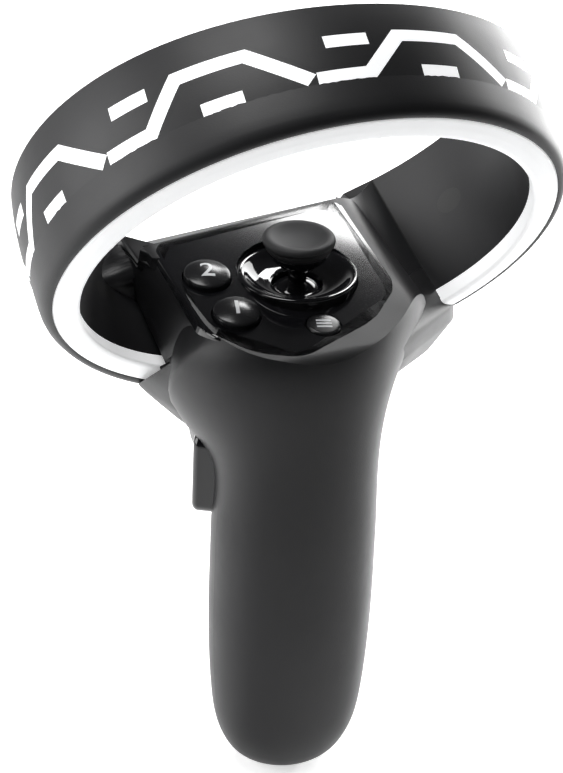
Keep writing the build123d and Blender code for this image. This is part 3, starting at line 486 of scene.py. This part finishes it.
left_wing = cut_at(hull(
    [on_ring(*place) for place in (
        (-33.0, 49.6, 0.4), (-33.0, 57.3, 0.5), (-33.0, 58.6, 9.0), (-33.0, 50.0, 9.0),
        (-26.0, 59.4, 0.6), (-14.0, 58.6, -1.6), (-20.0, 50.5, 0.2),
    )]
    + [on_platform(*place) for place in (
        (-22.4, -12.8, -1.1), (-22.2, -4.0, -1.4), (-15.4, -22.8, -2.0), (-10.0, -25.4, -2.4),
        (-5.4, -27.2, -2.8),
    )]
    + [on_throat(angle) for angle in (140.0, 155.0, 170.0, 185.0, 200.0, 215.0, 230.0, 245.0)],
    3,
), on_ring(left_joint, seam_radius, -1.0), on_ring(left_joint, 57.6, 0.3))
left_arm = cut_at(hull(
    [on_ring(left_joint, 49.5, depth) for depth in (0.6, 10.0, 20.0, 29.6)]
    + [on_ring(-30.0, 55.0, depth) for depth in (1.5, 28.0)]
    + [on_platform(*place) for place in ((-22.5, -13.0, -0.6), (-22.5, 18.2, -0.6), (-14.0, 14.0, -9.0))],
    2,
), arm_near, arm_far)
right_wing = hull(
    [on_ring(*place) for place in (
        (52.0, 49.6, 0.4), (52.0, 56.3, 0.3), (52.0, 57.1, 9.0), (52.0, 50.0, 9.0),
        (48.0, 61.6, -0.4), (40.0, 63.6, -3.0), (30.0, 62.0, -5.0), (40.0, 50.5, 0.2),
    )]
    + [on_platform(*place) for place in ((24.4, -9.0, -1.2), (14.6, -19.8, -1.8), (4.0, -24.0, -2.6))]
    + [on_throat(angle) for angle in (-65.0, -50.0, -35.0, -20.0, -5.0, 10.0, 30.0)],
    2,
)
right_cove = cove(right_joint, -8.0, 25.0, -11.5, 36.2, 2.4)
left_cove = cove(left_joint, 4.0, -22.3, -13.4, 32.0, 0.1)
shell_black = plastic("shell_black", (0.009, 0.009, 0.010), 0.42, 0.35, 0.14, Specular_IOR_Level=0.30)
smooth_copy(
    "front_shell", "shell_front", "shell", "root", shell_black,
    carve=trim_head, extra=(left_wing, left_arm, right_wing, right_cove, left_cove),
)
smooth_copy("rear_shell", "shell_rear", "shell", "root", shell_black, carve=trim_head)

# Cell: a built-in rechargeable cell in a dark blue shrink sleeve, held in the grip
# by two nylon saddles that follow the inside of the shells.
sleeve_blue = plastic("cell_sleeve", (0.05, 0.10, 0.25), 0.3, 0.8, 0.10, 0.1)
smooth_copy("battery_cell", "cell_body", "cell", "root", sleeve_blue)
saddle_nylon = plastic("saddle_nylon", (0.10, 0.10, 0.11), 0.6, 0.5, 0.2)
smooth_copy("cell_saddles", "saddles", "inner", "root", saddle_nylon)


# Boards: glass-fibre boards under a green solder mask, whose copper tracks show
# through it as a fine raster. The light strip of the ring is a thin white board.
def solder_mask(name, color, copper):
    """Mask over copper: a raster of tracks lightens it a little."""
    paint = plastic(name, color, 0.35, 0.5, 0.05, 0.05)
    nodes, links = paint.node_tree.nodes, paint.node_tree.links
    shader = nodes["Principled BSDF"]
    place = nodes.new("ShaderNodeTexCoord")
    tracks = nodes.new("ShaderNodeTexVoronoi")
    tracks.feature = "DISTANCE_TO_EDGE"
    tracks.inputs["Scale"].default_value = 420.0
    links.new(place.outputs["Object"], tracks.inputs["Vector"])
    ramp = nodes.new("ShaderNodeValToRGB")
    ramp.color_ramp.elements[0].position = 0.06
    ramp.color_ramp.elements[0].color = (*copper, 1.0)
    ramp.color_ramp.elements[1].position = 0.10
    ramp.color_ramp.elements[1].color = (*color, 1.0)
    links.new(tracks.outputs["Distance"], ramp.inputs["Fac"])
    links.new(ramp.outputs["Color"], shader.inputs["Base Color"])
    return paint


mask_green = solder_mask("mask_green", (0.02, 0.14, 0.07), (0.06, 0.26, 0.12))
smooth_copy("main_board", "board_main", "board", "root", mask_green)
smooth_copy("panel_board", "board_panel", "board", "root", mask_green)
mask_white = solder_mask("mask_white", (0.75, 0.76, 0.74), (0.85, 0.80, 0.62))
smooth_copy("ring_led_strip", "board_ring", "board", "root", mask_white, carve=lean_ring)


# Metal pieces: pressed or drawn steel with fine lines from the tool, for the socket,
# the motor's can, the pin, the stick's housing and the dome switches. The grip
# button's switch beside them is moulded of the saddles' nylon.
def steel(name, color, roughness, stretch):
    """Drawn metal whose lines run along the direction with the smallest stretch."""
    paint = bpy.data.materials.new(name)
    paint.use_nodes = True
    nodes, links = paint.node_tree.nodes, paint.node_tree.links
    shader = nodes["Principled BSDF"]
    shader.inputs["Metallic"].default_value = 1.0
    place = nodes.new("ShaderNodeTexCoord")
    turned = nodes.new("ShaderNodeMapping")
    turned.inputs["Scale"].default_value = stretch
    lines = nodes.new("ShaderNodeTexNoise")
    lines.inputs["Scale"].default_value = 1400.0
    links.new(place.outputs["Object"], turned.inputs["Vector"])
    links.new(turned.outputs["Vector"], lines.inputs["Vector"])
    sheen = nodes.new("ShaderNodeMapRange")
    sheen.inputs["To Min"].default_value = roughness - 0.08
    sheen.inputs["To Max"].default_value = roughness + 0.12
    links.new(lines.outputs["Fac"], sheen.inputs["Value"])
    links.new(sheen.outputs["Result"], shader.inputs["Roughness"])
    tone = nodes.new("ShaderNodeMapRange")
    tone.data_type = "FLOAT_VECTOR"
    # The vector form's To Min and To Max share their names with the plain form's, so they go by number.
    vector_low, vector_high = 9, 10
    tone.inputs[vector_low].default_value = tuple(channel * 0.85 for channel in color)
    tone.inputs[vector_high].default_value = color
    links.new(lines.outputs["Fac"], tone.inputs["Vector"])
    links.new(tone.outputs["Vector"], shader.inputs["Base Color"])
    return paint


bright_steel = steel("bright_steel", (0.62, 0.62, 0.63), 0.28, (0.2, 1.0, 1.0))
pressed_steel = steel("pressed_steel", (0.50, 0.50, 0.52), 0.38, (1.0, 1.0, 0.15))
smooth_copy("charging_socket", "socket_shell", "metal", "root", bright_steel)
smooth_copy("vibration_motor", "motor_can", "metal", "root", pressed_steel)
smooth_copy("grip_switch", "switch_of_grip", "inner", "root", saddle_nylon)

# Ring: an outer band of matte plastic round an inner band, both moulded in nearly
# the shell's black, a lip round the light strip, and two oval plugs on the inside.
ring_black = plastic("ring_black", (0.014, 0.014, 0.015), 0.46, 0.35, 0.14, Specular_IOR_Level=0.30)


def swept(profile, first, last, steps=160):
    """A closed profile of radius and depth, swept over the ring's top from one angle to another."""
    form = bmesh.new()
    across, along = cos(radians(90.0 - first)), sin(radians(90.0 - first))
    line = [form.verts.new((radius * across, radius * along, depth)) for radius, depth in profile]
    for pair in zip(line, line[1:] + line[:1]):
        form.edges.new(pair)
    bmesh.ops.spin(
        form, geom=form.verts[:] + form.edges[:], cent=(0, 0, 0), axis=(0, 0, 1),
        dvec=(0, 0, 0), angle=radians((first - last) % 360.0), steps=steps,
    )
    bmesh.ops.holes_fill(form, edges=form.edges, sides=0)
    bmesh.ops.recalc_face_normals(form, faces=form.faces)
    bmesh.ops.transform(form, matrix=ring_place, verts=form.verts)
    lean_ring(form)
    return form


ring_lip = swept((
    (55.05, -0.3), (55.5, -0.36), (56.0, -0.2), (56.6, 0.3), (57.1, 1.2), (57.4, 2.6), (57.55, 5.0),
    (57.62, 8.0), (57.6, 10.2), (56.2, 10.2), (55.6, 1.85), (55.05, 1.85),
), -32.6, right_joint)
smooth_copy(
    "ring_outer_band", "ring_outside", "ring", "root", ring_black,
    carve=lean_ring, extra=(ring_lip,),
)
smooth_copy("ring_inner_band", "ring_inside", "ring_inside", "root", ring_black, carve=lean_ring)
plug_black = plastic("plug_black", (0.008, 0.008, 0.008), 0.55, 0.3, 0.2)
smooth_copy("screw_plugs", "oval_plugs", "plug", "root", plug_black, carve=lean_ring)

# Joints: a thin soft gasket closes each joint between the ring and the head, and shows
# as a fine dark line across the inside and the outside of the band.
gasket_black = plastic("gasket_black", (0.004, 0.004, 0.004), 0.8, 0.3, 0.1)
half_gap = 0.17
for name, joint in (("gasket_left", left_joint), ("gasket_right", right_joint)):
    gasket = swept((
        (49.24, -0.2), (49.24, 30.05), (57.3, 30.05), (57.9, 24.0), (58.08, 18.0), (57.95, 12.0),
        (57.4, 6.0), (56.4, 0.3),
    ), joint + half_gap, joint - half_gap, 2)
    put(gasket, name, "plug", "root", (), gasket_black)

# Light guides: milky plastic let into the outer band and along the near rim, in front of the
# ring's light strip; their white gets a faint painted glow, so it stays white where the lamps leave it in
# shade.
guide_white_painted_glow = plastic(
    "guide_white_painted_glow", (0.90, 0.91, 0.92), 0.38, 0.3, 0.04, 0.02,
    Emission_Color=(1.0, 1.0, 1.0, 1.0), Emission_Strength=0.35,
)
smooth_copy("pattern_light_guides", "light_lines", "light", "root", guide_white_painted_glow, carve=lean_ring)
rim_form = swept((
    (49.3, 1.8), (49.3, -0.85), (49.5, -1.2), (49.95, -1.36), (50.6, -1.38), (52.4, -1.1), (54.3, -0.62),
    (54.75, -0.42), (54.97, -0.1), (55.0, 0.4), (55.0, 1.8), (53.6, 1.8), (53.6, 6.2), (52.0, 6.2),
    (52.0, 1.8),
), left_joint, right_joint)
put(rim_form, "rim_light", "light", "root", ("rim_light_guide",), guide_white_painted_glow)


# Panel: a flat piece of gloss black plastic let into the platform, with a polished
# bevel all round and a hole for each button and for the stick's dish.
def turned(profile, steps):
    """A closed ring of faces from a profile of radius and height, turned round its axis."""
    form = bmesh.new()
    line = [form.verts.new((radius, 0.0, height)) for radius, height in profile]
    for first, second in zip(line, line[1:]):
        form.edges.new((first, second))
    bmesh.ops.spin(
        form, geom=form.verts[:] + form.edges[:], cent=(0, 0, 0), axis=(0, 0, 1),
        dvec=(0, 0, 0), angle=2 * pi, steps=steps, use_merge=True,
    )
    bmesh.ops.remove_doubles(form, verts=form.verts, dist=1e-4)
    bmesh.ops.recalc_face_normals(form, faces=form.faces)
    return form


stick_side = 4.8
stick_place = Matrix.Translation(spot(stick_side, 14.1, 116.0)) @ Matrix.Scale(mm, 4)
button_spots = {"button_one": (-13.8, -10.2), "button_two": (-14.9, 3.9), "menu_button": (3.0, -18.4)}
corner_round, edge_bevel, panel_depth = 3.6, 0.7, 2.6
gloss_black = plastic(
    "gloss_black", (0.006, 0.006, 0.007), 0.07, 1.4, 0.004, 0.03,
    Coat_Weight=0.4, Coat_Roughness=0.04, Specular_IOR_Level=0.35,
)
panel_form = bmesh.new()
corners = [panel_form.verts.new((x, y, 0.0)) for x, y in (
    (-22.6, 18.75), (25.2, 24.2), (24.6, -10.2), (14.8, -20.2), (-5.6, -28.4), (-15.6, -23.9),
    (-22.9, -13.4),
)]
panel_form.faces.new(corners[::-1])
bmesh.ops.bevel(
    panel_form, geom=panel_form.verts[:], offset=corner_round, offset_type="OFFSET",
    affect="VERTICES", segments=14, profile=0.5, material=-1,
)
sunk = bmesh.ops.extrude_face_region(panel_form, geom=panel_form.faces[:])
bmesh.ops.translate(
    panel_form, verts=[v for v in sunk["geom"] if isinstance(v, bmesh.types.BMVert)],
    vec=(0.0, 0.0, -panel_depth),
)
bmesh.ops.recalc_face_normals(panel_form, faces=panel_form.faces)
top_edges = [e for e in panel_form.edges if all(abs(v.co.z) < 1e-6 for v in e.verts)]
bmesh.ops.bevel(
    panel_form, geom=top_edges, offset=edge_bevel, offset_type="OFFSET", affect="EDGES",
    segments=3, profile=0.5, material=-1,
)
panel_piece = put(panel_form, "panel_gloss", "panel", "root", ("control_panel",))
for name, place, radius in (
    ("dish_hole", (stick_side, 0.0), 13.35), ("hole_two", button_spots["button_two"], 5.4),
    ("hole_one", button_spots["button_one"], 5.4), ("hole_menu", button_spots["menu_button"], 4.0),
):
    drill = bmesh.new()
    bmesh.ops.create_cone(
        drill, cap_ends=True, segments=96, radius1=radius, radius2=radius, depth=9.0,
        matrix=Matrix.Translation((*place, 0.0)),
    )
    drill_piece = put(drill, name)
    cut = panel_piece.modifiers.new(name, "BOOLEAN")
    cut.operation = "DIFFERENCE"
    cut.solver = "EXACT"
    cut.object = drill_piece
bpy.context.view_layer.update()
cut_panel = bpy.data.meshes.new_from_object(
    panel_piece.evaluated_get(bpy.context.evaluated_depsgraph_get())
)
for cut in list(panel_piece.modifiers):
    bpy.data.objects.remove(cut.object)
panel_piece.modifiers.clear()
panel_form = bmesh.new()
panel_form.from_mesh(cut_panel)
bmesh.ops.transform(panel_form, matrix=platform_place, verts=panel_form.verts)
shaded(panel_form, 30.0)
# The flat top keeps its plain normals, so that it mirrors the room without waves.
up = (platform_place.to_3x3() @ Vector((0.0, 0.0, 1.0))).normalized()
for face in panel_form.faces:
    face.smooth = face.normal.dot(up) < 0.9999
panel_form.to_mesh(panel_piece.data)
panel_form.free()
panel_piece.data.materials.append(gloss_black)

# Dish: a gloss black cup round the stick, polished inside, with a rounded lip that
# stands just proud of the panel and a hole that the stick's dome fills.
dish_form = turned((
    (5.6, -2.9), (5.62, -2.62), (5.8, -2.5), (7.2, -2.42), (8.6, -2.12), (9.9, -1.58),
    (10.9, -0.92), (11.55, -0.38), (11.95, -0.12), (12.35, -0.01), (12.7, 0.0),
    (13.0, -0.09), (13.15, -0.28), (13.2, -0.6), (13.2, -4.0), (12.0, -4.0),
    (12.0, -2.5), (9.6, -3.0), (5.6, -3.6), (5.6, -2.9),
), 128)
bmesh.ops.transform(dish_form, matrix=stick_place, verts=dish_form.verts)
put(shaded(dish_form, 50.0), "dish_gloss", "gloss", "root", ("stick_dish",), gloss_black)

# Stick: a turned stem with the polished dome that closes the dish's hole and a bell
# under the cap, rocking in a yoke and a gimbal ring inside a pressed steel housing
# with two sensors and a press switch. The panel board's dome switches follow it.
stick_form = turned((
    (1.8, 6.2), (5.9, 6.0), (6.45, 5.6), (6.5, 4.9), (6.1, 3.9), (5.2, 2.9), (4.2, 2.0), (3.3, 1.3),
    (2.6, 0.8), (2.1, 0.4), (1.8, 0.2), (1.8, 6.2),
), 112)
bmesh.ops.transform(stick_form, matrix=stick_place, verts=stick_form.verts)
smooth_copy("stick", "stick_stem", "gloss", "stick", gloss_black, extra=(stick_form,))
inner_black = plastic("inner_black", (0.05, 0.05, 0.055), 0.5, 0.4, 0.1)
smooth_copy("gimbal_ring", "gimbal", "inner", "gimbal", inner_black)
smooth_copy("tilt_yoke", "yoke", "inner", "yoke", inner_black)
smooth_copy("stick_housing", "housing_cup", "metal", "root", pressed_steel)
smooth_copy("potentiometers", "tilt_sensors", "inner", "root", inner_black)
smooth_copy("stick_switch", "press_switch", "inner", "root", inner_black)
smooth_copy("dome_switches", "click_domes", "metal", "root", bright_steel)

# Cap: soft rubber moulded over the stem, with a dished top, a rounded rim and a
# narrower step below it.
cap_rubber = plastic("cap_rubber", (0.018, 0.018, 0.019), 0.60, 0.28, 0.35, 0.08, Specular_IOR_Level=0.3)
cap_form = turned((
    (0.0, 7.56), (1.5, 7.61), (3.0, 7.78), (4.3, 8.06), (5.3, 8.42), (6.0, 8.72), (6.5, 8.87),
    (7.05, 8.87), (7.5, 8.72), (7.8, 8.42), (7.94, 8.05), (7.95, 7.68), (7.88, 7.4),
    (7.66, 7.2), (7.4, 7.12), (7.3, 7.0), (7.28, 6.8), (7.28, 6.3), (7.2, 6.05),
    (7.0, 5.9), (6.72, 5.82), (6.62, 5.7), (6.6, 5.4), (6.5, 5.2), (6.2, 5.1), (0.0, 5.1),
), 112)
bmesh.ops.transform(cap_form, matrix=stick_place, verts=cap_form.verts)
put(shaded(cap_form, 60.0), "stick_cap", "rubber", "stick", ("thumb_cap",), cap_rubber)

# Buttons: gloss domed caps with a flange under the panel; the numbers and the plain
# three-bar menu sign are printed on them in pale grey.
print_grey = plastic("print_grey", (0.55, 0.56, 0.57), 0.4, 0.3, 0.05, 0.05)
button_black = plastic(
    "button_black", (0.012, 0.012, 0.013), 0.24, 0.8, 0.01, 0.06, Specular_IOR_Level=0.35,
)
print_lift = 0.02


def dome_height(radius, distance, proud, drop):
    """Height of a domed cap's top at a distance from its middle."""
    return proud - drop * (distance / radius) ** 2


for name, radius, proud, drop in (
    ("button_one", 5.1, 2.28, 1.0), ("button_two", 5.1, 2.28, 1.0), ("menu_button", 3.7, 0.48, 0.12),
):
    edge_round, flange = 0.45, radius + 0.8
    rim = radius - edge_round
    lip = dome_height(radius, rim, proud, drop)
    top = [(rim * step / 8, dome_height(radius, rim * step / 8, proud, drop)) for step in range(9)]
    fall = [
        (rim + edge_round * sin(radians(turn)), lip - 0.5 * (1.0 - cos(radians(turn))) - 0.06)
        for turn in (25, 50, 75, 90)
    ]
    cap = turned(top + fall + [(radius, -3.2), (flange, -3.2), (flange, -4.0), (0.0, -4.0)], 96)
    button_place = platform_place @ Matrix.Translation((*button_spots[name], 0.0))
    bmesh.ops.transform(cap, matrix=button_place, verts=cap.verts)
    put(shaded(cap, 50.0), name + "_cap", "button", name, (name,), button_black)

    sign = bmesh.new()
    if name == "menu_button":
        for level in (-1.05, 0.0, 1.05):
            bmesh.ops.create_grid(
                sign, x_segments=8, y_segments=1, size=0.5,
                matrix=Matrix.Translation((0.0, level, 0.0)) @ Matrix.Diagonal((3.3, 0.52, 1.0, 1.0)),
            )
    else:
        letter = bpy.data.curves.new(name + "_number", "FONT")
        letter.body = "1" if name == "button_one" else "2"
        letter.size = 6.6
        letter.offset = 0.07
        letter.align_x = "CENTER"
        letter.align_y = "CENTER"
        letter.resolution_u = 6
        letter_piece = bpy.data.objects.new(letter.name, letter)
        bpy.context.scene.collection.objects.link(letter_piece)
        bpy.context.view_layer.update()
        flat = bpy.data.meshes.new_from_object(letter_piece)
        bpy.data.objects.remove(letter_piece)
        sign.from_mesh(flat)
        bmesh.ops.remove_doubles(sign, verts=sign.verts, dist=1e-3)
        bmesh.ops.triangulate(sign, faces=sign.faces)
        bmesh.ops.subdivide_edges(sign, edges=sign.edges, cuts=3, use_grid_fill=True)
    bmesh.ops.rotate(sign, verts=sign.verts, cent=(0, 0, 0), matrix=Matrix.Rotation(radians(-16.0), 3, "Z"))
    for point in sign.verts:
        distance = hypot(point.co.x, point.co.y)
        point.co.z = dome_height(radius, distance, proud, drop) + print_lift
    bmesh.ops.recalc_face_normals(sign, faces=sign.faces)
    if sum(face.normal.z for face in sign.faces) < 0:
        bmesh.ops.reverse_faces(sign, faces=sign.faces)
    bmesh.ops.transform(sign, matrix=button_place, verts=sign.verts)
    put(shaded(sign), name + "_sign", "button", name, (), print_grey)

# Trigger: a gloss black blade that hooks down behind the ring, on a steel pin, and
# a wire spring wound round that pin to push it back.
smooth_copy("trigger", "trigger_blade", "gloss", "trigger", gloss_black)
smooth_copy("trigger_pin", "pin_of_trigger", "metal", "root", bright_steel)
wire_radius, coil_radius, coil_length, coil_turns, coil_steps = 0.33, 1.85, 4.2, 5.5, 144
wire_start = Matrix.Translation((-coil_length / 2, coil_radius, 0.0))
wire_turn = Matrix.Rotation(pi / 2, 4, "Z") @ Matrix.Rotation(pi / 2, 4, "X")
spring_form = bmesh.new()
bmesh.ops.create_circle(spring_form, segments=10, radius=wire_radius, matrix=wire_start @ wire_turn)
bmesh.ops.spin(
    spring_form, geom=spring_form.verts[:] + spring_form.edges[:], cent=(0, 0, 0), axis=(1, 0, 0),
    dvec=(coil_length / coil_steps, 0, 0), angle=2 * pi * coil_turns, steps=coil_steps,
)
bmesh.ops.holes_fill(spring_form, edges=spring_form.edges, sides=0)
bmesh.ops.recalc_face_normals(spring_form, faces=spring_form.faces)
bmesh.ops.transform(
    spring_form, matrix=Matrix.Translation(spot(0.0, 23.6, 88.0)) @ Matrix.Scale(mm, 4),
    verts=spring_form.verts,
)
put(shaded(spring_form, 60.0), "return_spring", "metal", "root", ("trigger_spring",), bright_steel)

# Grip button: a gloss black pad on the left flank that slides in when it is squeezed.
smooth_copy("grip_button", "squeeze_pad", "gloss", "grip_button", gloss_black)
